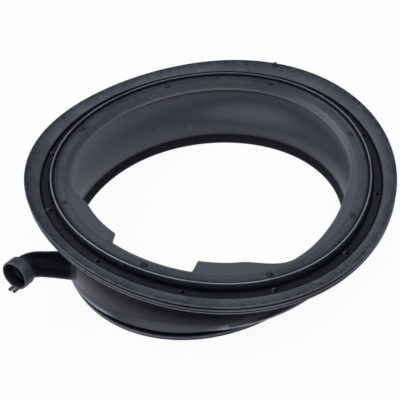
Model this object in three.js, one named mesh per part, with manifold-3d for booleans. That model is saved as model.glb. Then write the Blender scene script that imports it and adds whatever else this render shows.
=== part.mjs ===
// Door seal of a front-loading washing machine: one moulded rubber ring with a spout.
// Millimetres, +Z up. The seal lies on its rear flange, with its front lip on top.
// Angles are measured counter-clockwise from +X, seen from above.

import * as THREE from "three";
import Module from "manifold-3d";

const wasm = await Module();
wasm.setup();

// Driving sizes

const lipRadius = 190.8;
const rearRadius = 145;
const frontHeight = 78.6;
const stationCount = 76;

// The soft ring doesn't lie true: its front is tilted, twisted and slightly oval,
// and its rear flange sits a little to one side of the front.
const frontTilt = new THREE.Vector2(-0.08, 0.02);
const frontTwist = [
  { waves: 2, size: 3.9, peak: 39 },
  { waves: 3, size: 0.9, peak: 0 },
];
const lipTwist = [
  { waves: 2, size: 3.4, peak: 18 },
  { waves: 3, size: 1.8, peak: 68 },
];
const frontOval = [
  { waves: 2, size: 3.1, peak: 21 },
  { waves: 3, size: 1.7, peak: 50 },
];
const rearOval = [
  { waves: 2, size: 6.4, peak: 38.7 },
  { waves: 3, size: 2.1, peak: 8 },
];
const foldOval = [{ waves: 2, size: 3.6, peak: -5 }];
const rearCentre = new THREE.Vector2(-13.2, -12.1);

// Front ring: its parts follow each other inwards from the lip, and their drops are
// measured down from the top of its thin rim.
const lipWidth = 13.8;
const channelWidth = 11;
const rimThickness = 2;
const shoulderWidth = 5.4;
const faceWidth = 6;
const funnelWidth = 8.6;
const lipEdgeDrop = 0.8;
const sideGrooveDepth = 3.2;
const collarHeight = 12;
const channelTopDrop = 7;
const channelFloorDrop = 9.6;
const faceDrop = 3.8;
const beadDrop = 9.7;
const flangeThickness = 2.6;
const channelOuterRadius = lipRadius - lipWidth;
const channelInnerRadius = channelOuterRadius - channelWidth;
const rimRadius = channelInnerRadius - rimThickness;
const faceOuterRadius = rimRadius - shoulderWidth;
const faceInnerRadius = faceOuterRadius - faceWidth;
const beadRadius = faceInnerRadius - funnelWidth;

// Flaps widen the flange inwards, each between a first and a last angle.
const flaps = [
  { from: -178, to: -136.5, rise: 17, fall: 4, width: 10.8 },
  { from: -103, to: -61, rise: 2, fall: 22, width: 15.2 },
  { from: -75, to: 5, rise: 42, fall: 25, width: 5.6 },
];

// Bellows wall between the front ring and the rear flange
const wallTopRadius = faceInnerRadius - 1.1;
const wallTopDrop = 15;
const wallThickness = 3.8;
const wallSway = 2;
const wallSteps = 4;
const rootSwell = { angle: -148, spread: 18, size: 11 };

// Rear flange, as radius and as height above the ground
const rearFlangeWidth = 7.6;
const creaseRadius = rearRadius + 4;
const creaseHeight = 9.6;
const clampGrooveRadius = rearRadius + 6.1;
const clampGrooveBottom = 6.4;
const clampGrooveTop = 9.2;
const foldRadius = rearRadius + 11.8;
const foldHeight = 11.8;

// Details of the front ring
const holeRadius = channelInnerRadius + 5;
const markRadius = faceInnerRadius + faceWidth / 2;
const hole = { count: 12, radius: holeRadius, diameter: 4.4, depth: 2, firstAngle: -14.6 };
const mark = { count: 8, radius: markRadius, diameter: 5.6, depth: 0.5, firstAngle: 15.5 };
const nub = { angle: 63, width: 8, height: 3, proud: 1.3, buried: 3.2, drop: 1.4 };
const slit = { angle: -133.5, width: 1.2, depth: 3.4, top: 5, bottom: 13 };

// Spout: an arm with a flared root in the wall, rising as it runs along -X,
// an elbow, and a short wider end
const spout = {
  rootAngle: -150.55,
  rootInset: 2.8,
  rootHeight: 34.6,
  armLength: 57.9,
  armRise: 11.35,
  rootRadius: 17,
  armRadius: 13.1,
  endRadius: 15.5,
  thickness: 2.2,
  flareSteps: 4,
  bendRadius: 11,
  bendSteps: 4,
  sides: 20,
  endTurn: -126.9,
  endRise: 9.9,
  endLength: 24.2,
};
const prong = { width: 3, gap: 2.2, length: 9, thickness: 3, proud: 6.1, drop: 0.8 };
const gusset = { length: 12, thickness: 2.4, height: 6 };

const rubber = new THREE.MeshStandardMaterial({
  name: "black_rubber",
  color: 0x33363c,
  roughness: 0.55,
  metalness: 0,
});

// The two rings

const radians = THREE.MathUtils.degToRad;

function wave(harmonics, angle) {
  return harmonics.reduce(
    (sum, { waves, size, peak }) => sum + size * Math.cos(waves * (angle - radians(peak))),
    0,
  );
}

function frontPoint(angle, radius, height) {
  const lipShare = THREE.MathUtils.clamp(
    (radius - channelOuterRadius) / (lipRadius - channelOuterRadius), 0, 1);
  const reach = radius + wave(frontOval, angle);
  const x = reach * Math.cos(angle);
  const y = reach * Math.sin(angle);
  const tilt = frontTilt.x * x + frontTilt.y * y;
  const twist = wave(frontTwist, angle) + lipShare * wave(lipTwist, angle);
  return new THREE.Vector3(x, y, frontHeight + height + tilt + twist);
}

function rearPoint(angle, radius, height, oval = rearOval) {
  const reach = radius + wave(oval, angle);
  const x = rearCentre.x + reach * Math.cos(angle);
  const y = rearCentre.y + reach * Math.sin(angle);
  return new THREE.Vector3(x, y, height);
}

// The moulded section

function flapWidth(angle) {
  let width = 0;
  for (const flap of flaps) {
    const degrees = THREE.MathUtils.radToDeg(angle);
    const turned = THREE.MathUtils.euclideanModulo(degrees - flap.from, 360);
    const rising = THREE.MathUtils.smoothstep(turned, 0, flap.rise);
    const length = flap.to - flap.from;
    const falling = 1 - THREE.MathUtils.smoothstep(turned, length - flap.fall, length);
    width += flap.width * rising * falling;
  }
  return width;
}

function rearOutside(angle) {
  const outer = rearRadius + rearFlangeWidth;
  const flange = [
    [outer - 1, 0],
    [outer, 1],
    [outer, 3.6],
    [outer + 0.9, 4.4],
    [outer + 0.7, clampGrooveBottom - 0.5],
    [clampGrooveRadius, clampGrooveBottom],
    [clampGrooveRadius, clampGrooveTop],
  ].map(([radius, height]) => rearPoint(angle, radius, height));
  const fold = [
    [foldRadius - 1.2, foldHeight - 1.6],
    [foldRadius, foldHeight],
  ].map(([radius, height]) => rearPoint(angle, radius, height, foldOval));
  return [...flange, ...fold];
}

function rearInside(angle) {
  return [
    [creaseRadius, creaseHeight],
    [rearRadius + 0.5, 3.2],
    [rearRadius, 2.2],
    [rearRadius, 0.9],
    [rearRadius + 0.9, 0],
  ].map(([radius, height]) => rearPoint(angle, radius, height));
}

function frontOutside(angle) {
  const side = lipRadius - 0.6;
  const underside = -channelFloorDrop - 4;
  return [
    [wallTopRadius + wallThickness + 0.8, underside - 5],
    [wallTopRadius + wallThickness + 5, underside - 0.6],
    [channelOuterRadius, underside],
    [side - 3, -collarHeight - 0.6],
    [side - 0.6, -collarHeight + 0.8],
    [side, -8.6],
    [side - 2, -8],
    [side - 2, -7.4],
    [side, -6.8],
    [side, -4.9],
    [side - sideGrooveDepth, -4.1],
    [side - sideGrooveDepth, -2.8],
    [side, -2.1],
    [lipRadius, -lipEdgeDrop - 0.3],
    [lipRadius - 1.2, -lipEdgeDrop + 0.4],
  ].map(([radius, height]) => frontPoint(angle, radius, height));
}

function frontTop(angle) {
  const bead = beadRadius - flapWidth(angle);
  return [
    [channelOuterRadius + 0.6, -channelTopDrop + 0.4],
    [channelOuterRadius - 0.4, -channelTopDrop - 0.4],
    [channelOuterRadius - 0.8, -channelFloorDrop],
    [channelInnerRadius, -channelFloorDrop],
    [rimRadius + rimThickness / 2, -0.7],
    [rimRadius + 0.3, 0],
    [rimRadius - rimThickness / 2, -0.3],
    [rimRadius - rimThickness / 2 - 0.5, -2.4],
    [faceOuterRadius + 1, -2.6],
    [faceOuterRadius, -faceDrop],
    [faceInnerRadius, -faceDrop],
    [faceInnerRadius - 2.4, -faceDrop - 0.8],
    [bead + 3, -beadDrop + 2],
    [bead + 0.6, -beadDrop + 0.7],
    [bead, -beadDrop],
    [bead + 0.5, -beadDrop - 0.9],
    [wallTopRadius - 2.4, -beadDrop - flangeThickness],
  ].map(([radius, height]) => frontPoint(angle, radius, height));
}

// The wall sways outwards near its top and inwards lower down, and swells at the spout.
function wallInside(angle, top, bottom) {
  const outwards = new THREE.Vector3(Math.cos(angle), Math.sin(angle), 0);
  const turned = THREE.MathUtils.radToDeg(angle) - rootSwell.angle;
  const apart = THREE.MathUtils.euclideanModulo(turned + 180, 360) - 180;
  const swell = rootSwell.size * Math.exp(-((apart / rootSwell.spread) ** 2));
  return Array.from({ length: wallSteps }, (_, step) => {
    const share = step / wallSteps;
    const sway = wallSway * Math.sin(2 * Math.PI * share) + swell * Math.sin(Math.PI * share);
    return top.clone().lerp(bottom, share).addScaledVector(outwards, sway);
  });
}

function sectionAt(angle) {
  const outwards = new THREE.Vector3(Math.cos(angle), Math.sin(angle), 0);
  const inside = rearInside(angle);
  const top = frontPoint(angle, wallTopRadius, -wallTopDrop);
  const inner = wallInside(angle, top, inside[0]);
  const outer = inner.slice(1)
    .map((point) => point.clone().addScaledVector(outwards, wallThickness))
    .reverse();
  const collar = [...frontOutside(angle), ...frontTop(angle)];
  return [...rearOutside(angle), ...outer, ...collar, ...inner, ...inside];
}

function stationAngles() {
  const angles = [];
  for (let station = 0; station < stationCount; station += 1) {
    angles.push((station * 360) / stationCount - 180);
  }
  const extra = flaps.flatMap((flap) => [
    flap.from + flap.rise / 2,
    flap.from + flap.rise,
    flap.to - flap.fall,
    flap.to - flap.fall / 2,
    flap.to,
  ]);
  const apart = angles.filter((angle) => extra.every((other) => Math.abs(other - angle) > 0.7));
  return [...apart, ...extra].sort((one, other) => one - other).map(radians);
}

// Skins a row of equally long point loops, each running clockwise as seen along the row.
// A closed row is a ring, and an open one has flat ends.
function skin(loops, isClosed) {
  const size = loops[0].length;
  const indices = [];
  const spans = isClosed ? loops.length : loops.length - 1;
  for (let loop = 0; loop < spans; loop += 1) {
    const here = loop * size;
    const next = ((loop + 1) % loops.length) * size;
    for (let point = 0; point < size; point += 1) {
      const following = (point + 1) % size;
      indices.push(here + point, next + point, next + following);
      indices.push(here + point, next + following, here + following);
    }
  }
  if (!isClosed) {
    const last = spans * size;
    for (let point = 1; point < size - 1; point += 1) {
      indices.push(0, point, point + 1);
      indices.push(last, last + point + 1, last + point);
    }
  }
  const geometry = new THREE.BufferGeometry().setFromPoints(loops.flat());
  geometry.setIndex(indices);
  return geometry;
}

// Solids and their joins

function toSolid(geometry, matrix = new THREE.Matrix4()) {
  const placed = geometry.clone().applyMatrix4(matrix);
  const positions = placed.attributes.position;
  const index = placed.index
    ? Array.from(placed.index.array)
    : Array.from({ length: positions.count }, (_, vertex) => vertex);
  const seen = new Map();
  const vertices = [];
  const merged = Array.from({ length: positions.count }, (_, vertex) => {
    const point = [positions.getX(vertex), positions.getY(vertex), positions.getZ(vertex)];
    const key = point.map((value) => Math.round(value * 1e5)).join();
    if (!seen.has(key)) {
      seen.set(key, vertices.length / 3);
      vertices.push(...point);
    }
    return seen.get(key);
  });
  const triangles = [];
  for (let corner = 0; corner < index.length; corner += 3) {
    const [a, b, c] = index.slice(corner, corner + 3).map((vertex) => merged[vertex]);
    if (a !== b && b !== c && c !== a) {
      triangles.push(a, b, c);
    }
  }
  return new wasm.Manifold(new wasm.Mesh({
    numProp: 3,
    vertProperties: new Float32Array(vertices),
    triVerts: new Uint32Array(triangles),
  }));
}

function toGeometry(solid) {
  const { vertProperties, triVerts } = solid.getMesh();
  const geometry = new THREE.BufferGeometry();
  geometry.setAttribute("position", new THREE.BufferAttribute(vertProperties, 3));
  geometry.setIndex(new THREE.BufferAttribute(triVerts, 1));
  return geometry;
}

// A frame on the front ring: X points outwards, Y along the ring, Z up.
function frontFrame(degrees, radius, height) {
  const angle = radians(degrees);
  const place = frontPoint(angle, radius, height);
  return new THREE.Matrix4().makeRotationZ(angle).setPosition(place);
}

function uprightPin(diameter, length) {
  return new THREE.CylinderGeometry(diameter / 2, diameter / 2, length, 8).rotateX(Math.PI / 2);
}

function pinsAround({ count, radius, diameter, depth, firstAngle }, drop) {
  const above = 2;
  const pin = uprightPin(diameter, depth + above).translate(0, 0, (above - depth) / 2);
  return Array.from({ length: count }, (_, place) => {
    const degrees = firstAngle + (place * 360) / count;
    return toSolid(pin, frontFrame(degrees, radius, -drop));
  });
}

function nubSolid() {
  const outline = new THREE.Shape([
    new THREE.Vector2(-nub.buried, -nub.width / 2),
    new THREE.Vector2(nub.proud, 0),
    new THREE.Vector2(-nub.buried, nub.width / 2),
  ]);
  const wedge = new THREE.ExtrudeGeometry(outline, { depth: nub.height, bevelEnabled: false });
  return toSolid(wedge, frontFrame(nub.angle, lipRadius, -nub.drop - nub.height / 2));
}

function slitSolid() {
  const blade = new THREE.BoxGeometry(slit.depth * 2, slit.width, slit.bottom - slit.top);
  return toSolid(blade, frontFrame(slit.angle, lipRadius, -(slit.top + slit.bottom) / 2));
}

// The spout

// The way that a pipe runs which rises by one angle and is turned by another from +X
function wayOf(rise, turn) {
  return new THREE.Vector3(1, 0, 0)
    .applyAxisAngle(new THREE.Vector3(0, -1, 0), radians(rise))
    .applyAxisAngle(new THREE.Vector3(0, 0, 1), radians(turn));
}

const armDirection = wayOf(spout.armRise, 180);
const endDirection = wayOf(spout.endRise, spout.endTurn);
const rootReach = rearRadius - spout.rootInset;
const spoutRoot = new THREE.Vector3(
  rearCentre.x + rootReach * Math.cos(radians(spout.rootAngle)),
  rearCentre.y + rootReach * Math.sin(radians(spout.rootAngle)),
  spout.rootHeight);
const spoutElbow = alongArm(spout.armLength);

function alongArm(distance) {
  return spoutRoot.clone().addScaledVector(armDirection, distance);
}

function alongEnd(distance) {
  return spoutElbow.clone().addScaledVector(endDirection, distance);
}

function ringAround(centre, direction, radius) {
  const side = new THREE.Vector3(0, 0, 1).cross(direction).normalize();
  const top = new THREE.Vector3().crossVectors(direction, side);
  return Array.from({ length: spout.sides }, (_, corner) => {
    const angle = ((corner + 0.5) * -2 * Math.PI) / spout.sides;
    return centre.clone()
      .addScaledVector(side, radius * Math.cos(angle))
      .addScaledVector(top, radius * Math.sin(angle));
  });
}

// The spout's outside, or with an inset its bore, run past the seal at both ends.
function pipeSolid(inset, startOverrun, endOverrun) {
  const rings = [];
  const armLength = spout.armLength - spout.bendRadius;
  const root = spout.rootRadius - inset;
  const arm = spout.armRadius - inset;
  const end = spout.endRadius - inset;
  if (startOverrun > 0) {
    rings.push(ringAround(alongArm(-startOverrun), armDirection, root));
  }
  for (let step = 0; step <= spout.flareSteps; step += 1) {
    const share = step / spout.flareSteps;
    const flared = arm + (root - arm) * (1 - share) ** 1.5;
    rings.push(ringAround(alongArm(armLength * share), armDirection, flared));
  }
  const bend = new THREE.QuadraticBezierCurve3(
    alongArm(armLength), spoutElbow, alongEnd(spout.bendRadius));
  for (let step = 1; step <= spout.bendSteps; step += 1) {
    const share = step / (spout.bendSteps + 1);
    rings.push(ringAround(bend.getPoint(share), bend.getTangent(share), arm));
  }
  rings.push(ringAround(alongEnd(spout.bendRadius - 0.5), endDirection, end));
  rings.push(ringAround(alongEnd(spout.endLength + endOverrun), endDirection, end));
  return toSolid(skin(rings, false));
}

// A frame at the mouth: X sideways, Y to the top of the spout, Z out of the mouth.
function mouthFrame() {
  const side = new THREE.Vector3(0, 0, 1).cross(endDirection).normalize();
  const top = new THREE.Vector3().crossVectors(endDirection, side);
  const frame = new THREE.Matrix4().makeBasis(side, top, endDirection);
  return frame.setPosition(alongEnd(spout.endLength));
}

function prongSolids() {
  const offset = (prong.width + prong.gap) / 2;
  return [-offset, offset].map((sideways) => {
    const block = new THREE.BoxGeometry(prong.width, prong.thickness, prong.length);
    block.translate(sideways, prong.drop - spout.endRadius, prong.proud - prong.length / 2);
    return toSolid(block, mouthFrame());
  });
}

function gussetSolid() {
  const block = new THREE.BoxGeometry(gusset.length, gusset.thickness, gusset.height);
  const place = alongArm(spout.armLength - gusset.length);
  place.z += spout.armRadius;
  const slope = Math.asin(armDirection.z);
  return toSolid(block, new THREE.Matrix4().makeRotationY(slope).setPosition(place));
}

// The seal

function sealSolid() {
  let seal = toSolid(skin(stationAngles().map(sectionAt), true));
  for (const piece of [pipeSolid(0, 0, 0), nubSolid(), gussetSolid(), ...prongSolids()]) {
    seal = seal.add(piece);
  }
  const bore = pipeSolid(spout.thickness, 16, 6);
  const holes = pinsAround(hole, channelFloorDrop);
  const marks = pinsAround(mark, faceDrop);
  for (const piece of [bore, slitSolid(), ...holes, ...marks]) {
    seal = seal.subtract(piece);
  }
  return seal;
}

const doorSeal = new THREE.Mesh(toGeometry(sealSolid()), rubber);
doorSeal.name = "door_seal";

// The middle of the seal's footprint, at the ground, is the origin.
const box = new THREE.Box3().setFromObject(doorSeal);
const middle = box.getCenter(new THREE.Vector3());
doorSeal.position.set(-middle.x, -middle.y, -box.min.z);

const group = new THREE.Group();
group.add(doorSeal);
export default group;
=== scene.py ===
# Door seal of a front-loading washing machine: one moulded rubber ring with a spout.
# Metres, +Z up. Angles are in degrees from +X, counter-clockwise as seen from above.

import math

import bmesh
import bpy
import numpy as np
from mathutils import Matrix, Vector
from mathutils.bvhtree import BVHTree


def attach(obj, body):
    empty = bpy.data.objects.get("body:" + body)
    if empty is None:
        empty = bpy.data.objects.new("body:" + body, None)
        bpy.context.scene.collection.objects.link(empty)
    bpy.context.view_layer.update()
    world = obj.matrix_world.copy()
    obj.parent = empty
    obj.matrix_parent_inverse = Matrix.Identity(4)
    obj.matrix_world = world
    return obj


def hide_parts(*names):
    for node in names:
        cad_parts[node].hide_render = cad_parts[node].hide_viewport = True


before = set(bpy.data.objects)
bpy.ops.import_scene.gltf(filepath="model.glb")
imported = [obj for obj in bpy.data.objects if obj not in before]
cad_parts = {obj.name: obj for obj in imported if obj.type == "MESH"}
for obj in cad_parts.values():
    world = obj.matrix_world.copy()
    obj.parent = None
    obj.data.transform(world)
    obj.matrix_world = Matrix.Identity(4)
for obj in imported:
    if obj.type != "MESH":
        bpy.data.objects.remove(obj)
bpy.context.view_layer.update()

nodeName = "door_seal"

# Sizes of the moulded section. The front ring's parts follow each other inwards from
# the lip, and their drops are measured down from the top of its thin rim.
sealSizes = {
    "lipRadius": 0.1908,
    "rearRadius": 0.145,
    "frontHeight": 0.0786,
    "lipWidth": 0.0138,
    "channelWidth": 0.011,
    "rimThickness": 0.002,
    "shoulderWidth": 0.0054,
    "faceWidth": 0.006,
    "funnelWidth": 0.0086,
    "lipEdgeDrop": 0.0008,
    "sideInset": 0.0006,
    "sideGrooveDepth": 0.0032,
    "collarHeight": 0.012,
    "channelTopDrop": 0.007,
    "channelFloorDrop": 0.0096,
    "collarFloor": 0.004,
    "faceDrop": 0.0038,
    "beadDrop": 0.0097,
    "flangeThickness": 0.0026,
    "wallTopInset": 0.0011,
    "wallTopDrop": 0.015,
    "wallThickness": 0.0038,
    "wallSway": 0.002,
    "wallFillet": 0.001,
    "footFlare": 0.0042,
    "footShare": 0.24,
    "footCurve": 2.4,
    "rearFlangeWidth": 0.0076,
    "creaseWidth": 0.004,
    "creaseHeight": 0.0096,
    "clampGrooveWidth": 0.0061,
    "clampGrooveBottom": 0.0064,
    "clampGrooveTop": 0.0092,
    "foldWidth": 0.0118,
    "foldHeight": 0.0118,
}

# How finely the ring is made: steps in metres or degrees, and which corners stay plain
meshSizes = {
    "filletSteps": 3,
    "filletShare": 0.42,
    "plainCorner": 6,
    "wallSteps": 17,
    "stationStep": 1.0,
    "fineStep": 0.25,
    "fineReach": 3,
    "abruptLength": 5,
    "mergeDistance": 1e-7,
    "sharpAngle": 38,
}

# The soft ring doesn't lie true: its front is tilted, twisted and slightly oval, and
# its rear flange sits a little to one side. A wave is its count, its size and its peak.
ringWaves = {
    "Front Twist": [(2, 0.0039, 39), (3, 0.0009, 0)],
    "Lip Twist": [(2, 0.0034, 18), (3, 0.0018, 68)],
    "Front Oval": [(2, 0.0031, 21), (3, 0.0017, 50)],
    "Rear Oval": [(2, 0.0064, 38.7), (3, 0.0021, 8)],
    "Fold Oval": [(2, 0.0036, -5)],
}
frontTilt = (-0.08, 0.02)
rearCentre = Vector((-0.0132, -0.0121, 0.0))

# Flaps widen the inner flange, and the wall swells where the spout leaves it.
flaps = [
    {"from": -178, "to": -136.5, "rise": 17, "fall": 4, "width": 0.0108},
    {"from": -103, "to": -61, "rise": 2, "fall": 22, "width": 0.0152},
    {"from": -75, "to": 5, "rise": 42, "fall": 25, "width": 0.0056},
]
rootSwell = {"angle": -148, "spread": 18, "size": 0.011}

# Details of the front ring. A cutter reaches above the rubber by the size called above.
holeSizes = {
    "count": 12,
    "diameter": 0.0044,
    "depth": 0.0028,
    "above": 0.002,
    "firstAngle": -14.6,
    "inset": 0.005,
    "sides": 28,
}
markSizes = {
    "count": 8,
    "diameter": 0.0056,
    "line": 0.0008,
    "depth": 0.00045,
    "above": 0.0006,
    "firstAngle": 15.5,
    "sides": 32,
}
nubSizes = {
    "angle": 63,
    "width": 0.008,
    "height": 0.003,
    "proud": 0.0013,
    "buried": 0.0032,
    "drop": 0.0014,
    "edge": 0.0003,
}
slitSizes = {
    "angle": -133.5,
    "width": 0.0012,
    "depth": 0.0034,
    "top": 0.005,
    "bottom": 0.013,
    "edge": 0.0001,
}

# Spout: an arm with a flared root in the wall, rising as it runs along -X, an elbow,
# and a short wider end
spoutSizes = {
    "rootAngle": -150.55,
    "rootInset": 0.0028,
    "rootHeight": 0.0346,
    "armLength": 0.0579,
    "armRise": 11.35,
    "rootRadius": 0.017,
    "armRadius": 0.0131,
    "endRadius": 0.0155,
    "flareCurve": 1.5,
    "thickness": 0.0022,
    "bendRadius": 0.011,
    "endTurn": -126.9,
    "endRise": 9.9,
    "endLength": 0.0242,
    "stepLength": 0.0012,
    "rimRound": 0.0008,
    "boreRimShare": 0.6,
    "boreStart": 0.016,
    "boreEnd": 0.006,
    "sides": 72,
    "armSteps": 18,
    "bendSteps": 12,
    "wideningSteps": 4,
    "rimSteps": 4,
}
prongSizes = {
    "width": 0.003,
    "gap": 0.0022,
    "length": 0.009,
    "thickness": 0.003,
    "proud": 0.0061,
    "drop": 0.0008,
    "edge": 0.0005,
}
gussetSizes = {"length": 0.012, "thickness": 0.0024, "height": 0.006, "edge": 0.0006}


def waveAt(name, angle):
    waves = ringWaves[name]
    return sum(size * np.cos(count * (angle - math.radians(peak))) for count, size, peak in waves)


# Named radii of the section: the front ring's from its lip inwards, then the rear ring's
def ringRadii():
    size = sealSizes
    lip = size["lipRadius"]
    side = lip - size["sideInset"]
    channelOuter = lip - size["lipWidth"]
    channelInner = channelOuter - size["channelWidth"]
    rim = channelInner - size["rimThickness"]
    faceOuter = rim - size["shoulderWidth"]
    faceInner = faceOuter - size["faceWidth"]
    wallTop = faceInner - size["wallTopInset"]
    rear = size["rearRadius"]
    return {
        "lip": lip,
        "side": side,
        "sideGroove": side - size["sideGrooveDepth"],
        "channelOuter": channelOuter,
        "hole": channelInner + holeSizes["inset"],
        "channelInner": channelInner,
        "rimOutside": rim + size["rimThickness"] / 2,
        "rim": rim,
        "rimInside": rim - size["rimThickness"] / 2,
        "faceOuter": faceOuter,
        "mark": (faceOuter + faceInner) / 2,
        "faceInner": faceInner,
        "bead": faceInner - size["funnelWidth"],
        "wallTop": wallTop,
        "wallOutside": wallTop + size["wallThickness"],
        "rear": rear,
        "crease": rear + size["creaseWidth"],
        "groove": rear + size["clampGrooveWidth"],
        "flange": rear + size["rearFlangeWidth"],
        "fold": rear + size["foldWidth"],
    }


radii = ringRadii()

# Named heights of the section: the front ring's from the top of its rim, then the rear
# ring's above the ground
levels = {
    "rimTop": 0.0,
    "lipEdge": -sealSizes["lipEdgeDrop"],
    "face": -sealSizes["faceDrop"],
    "channelTop": -sealSizes["channelTopDrop"],
    "channelFloor": -sealSizes["channelFloorDrop"],
    "bead": -sealSizes["beadDrop"],
    "beadUnder": -sealSizes["beadDrop"] - sealSizes["flangeThickness"],
    "collarEnd": -sealSizes["collarHeight"],
    "collarUnder": -sealSizes["channelFloorDrop"] - sealSizes["collarFloor"],
    "wallTop": -sealSizes["wallTopDrop"],
    "ground": 0.0,
    "grooveBottom": sealSizes["clampGrooveBottom"],
    "grooveTop": sealSizes["clampGrooveTop"],
    "crease": sealSizes["creaseHeight"],
    "fold": sealSizes["foldHeight"],
}

# Corners of the section. Each names the radius and the level it is measured from, then
# has its offsets outwards and upwards and the radius of its fillet.
rearOutside = [
    ("flange", "ground", -0.001, 0.0, 0.0008),
    ("flange", "ground", 0.0, 0.001, 0.0008),
    ("flange", "ground", 0.0, 0.0036, 0.0004),
    ("flange", "ground", 0.0009, 0.0044, 0.0004),
    ("flange", "grooveBottom", 0.0007, -0.0005, 0.0004),
    ("groove", "grooveBottom", 0.0, 0.0, 0.0004),
    ("groove", "grooveTop", 0.0, 0.0, 0.0004),
    ("fold", "fold", -0.0012, -0.0016, 0.0005),
    ("fold", "fold", 0.0, 0.0, 0.0012),
]
rearInside = [
    ("crease", "crease", 0.0, 0.0, 0.0015),
    ("rear", "ground", 0.0005, 0.0032, 0.0008),
    ("rear", "ground", 0.0, 0.0022, 0.0004),
    ("rear", "ground", 0.0, 0.0009, 0.0005),
    ("rear", "ground", 0.0009, 0.0, 0.0005),
]
collarCorners = [
    ("wallOutside", "collarUnder", 0.0008, -0.005, 0.003),
    ("wallOutside", "collarUnder", 0.005, -0.0006, 0.003),
    ("channelOuter", "collarUnder", 0.0, 0.0, 0.004),
    ("side", "collarEnd", -0.0030, -0.0006, 0.001),
    ("side", "collarEnd", -0.0006, 0.0008, 0.0008),
    ("side", "rimTop", 0.0, -0.0086, 0.0003),
    ("side", "rimTop", -0.0020, -0.0080, 0.0003),
    ("side", "rimTop", -0.0020, -0.0074, 0.0003),
    ("side", "rimTop", 0.0, -0.0068, 0.0003),
    ("side", "rimTop", 0.0, -0.0049, 0.0003),
    ("sideGroove", "rimTop", 0.0, -0.0041, 0.0003),
    ("sideGroove", "rimTop", 0.0, -0.0028, 0.0003),
    ("side", "rimTop", 0.0, -0.0021, 0.0003),
    ("lip", "lipEdge", 0.0, -0.0003, 0.0006),
    ("lip", "lipEdge", -0.0012, 0.0004, 0.0014),
]
topCorners = [
    ("channelOuter", "channelTop", 0.0006, 0.0004, 0.0012),
    ("channelOuter", "channelTop", -0.0004, -0.0004, 0.0005),
    ("channelOuter", "channelFloor", -0.0008, 0.0, 0.0004),
    ("channelOuter", "channelFloor", -0.0036, 0.0, 0.001),
    ("channelInner", "channelFloor", 0.0026, 0.0, 0.001),
    ("channelInner", "channelFloor", 0.0, 0.0, 0.001),
    ("rimOutside", "rimTop", 0.0, -0.0007, 0.0006),
    ("rim", "rimTop", 0.0003, 0.0, 0.0004),
    ("rimInside", "rimTop", 0.0, -0.0003, 0.0006),
    ("rimInside", "rimTop", -0.0005, -0.0024, 0.0005),
    ("faceOuter", "rimTop", 0.001, -0.0026, 0.0005),
    ("faceOuter", "face", 0.0, 0.0, 0.0004),
    ("faceInner", "face", 0.0, 0.0, 0.0008),
    ("faceInner", "face", -0.0024, -0.0008, 0.002),
    ("bead", "bead", 0.003, 0.002, 0.001),
    ("bead", "bead", 0.0006, 0.0007, 0.0006),
    ("bead", "bead", 0.0, 0.0, 0.0006),
    ("bead", "bead", 0.0005, -0.0009, 0.0006),
    ("wallTop", "beadUnder", -0.0024, 0.0, 0.001),
]


# A place in the front ring, by angle, radius and height from the top of the rim
def frontPoint(angle, radius, height):
    share = (radius - radii["channelOuter"]) / (radii["lip"] - radii["channelOuter"])
    lipShare = min(max(share, 0.0), 1.0)
    reach = radius + waveAt("Front Oval", angle)
    x = reach * math.cos(angle)
    y = reach * math.sin(angle)
    twist = waveAt("Front Twist", angle) + lipShare * waveAt("Lip Twist", angle)
    rise = sealSizes["frontHeight"] + height + frontTilt[0] * x + frontTilt[1] * y + twist
    return Vector((x, y, rise))


# Section spots. Each is a row of nine numbers: radius, height and flap share in the
# front ring, radius, height and fold share in the rear ring, then the share of the way
# from front to rear, the push outwards, and the share of the swell.
frontRest = [radii["wallTop"], levels["wallTop"], 0.0]
rearRest = [radii["crease"], levels["crease"], 0.0]


def frontCorner(radius, level, out, up, fillet):
    flapShare = 1.0 if radius == "bead" else 0.0
    spot = [radii[radius] + out, levels[level] + up, flapShare]
    return [*spot, *rearRest, 0.0, 0.0, 0.0], fillet


def rearCorner(radius, level, out, up, fillet):
    foldShare = 1.0 if radius == "fold" else 0.0
    spot = [radii[radius] + out, levels[level] + up, foldShare]
    return [*frontRest, *spot, 1.0, 0.0, 0.0], fillet


def wallCorner(share, push):
    sway = sealSizes["wallSway"] * math.sin(2 * math.pi * share)
    spot = [*frontRest, *rearRest, share, push + sway, math.sin(math.pi * share)]
    return spot, sealSizes["wallFillet"]


# How far the wall's outside stands off its inside, flaring out above the fold
def outerPush(share):
    foot = max(0.0, (share - 1 + sealSizes["footShare"]) / sealSizes["footShare"])
    return sealSizes["wallThickness"] + sealSizes["footFlare"] * foot ** sealSizes["footCurve"]


# The whole section in order: up the outside, over the front and down the inside
def sectionCorners():
    steps = meshSizes["wallSteps"]
    shares = [step / steps for step in range(steps)]
    return [
        *[rearCorner(*row) for row in rearOutside],
        *[wallCorner(share, outerPush(share)) for share in reversed(shares[1:])],
        *[frontCorner(*row) for row in collarCorners + topCorners],
        *[wallCorner(share, 0.0) for share in shares],
        *[rearCorner(*row) for row in rearInside],
    ]


# Where a spot lies in a section of the ring as if that lay true
def flatPlace(spot):
    share = spot[6]
    across = spot[0] * (1 - share) + spot[3] * share + spot[7]
    up = (sealSizes["frontHeight"] + spot[1]) * (1 - share) + spot[4] * share
    return np.array([across, up])


# A point of the curve that leaves one end towards a corner and bends into the other
def bentPoint(start, corner, end, share):
    return (1 - share) ** 2 * start + 2 * share * (1 - share) * corner + share ** 2 * end


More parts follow.
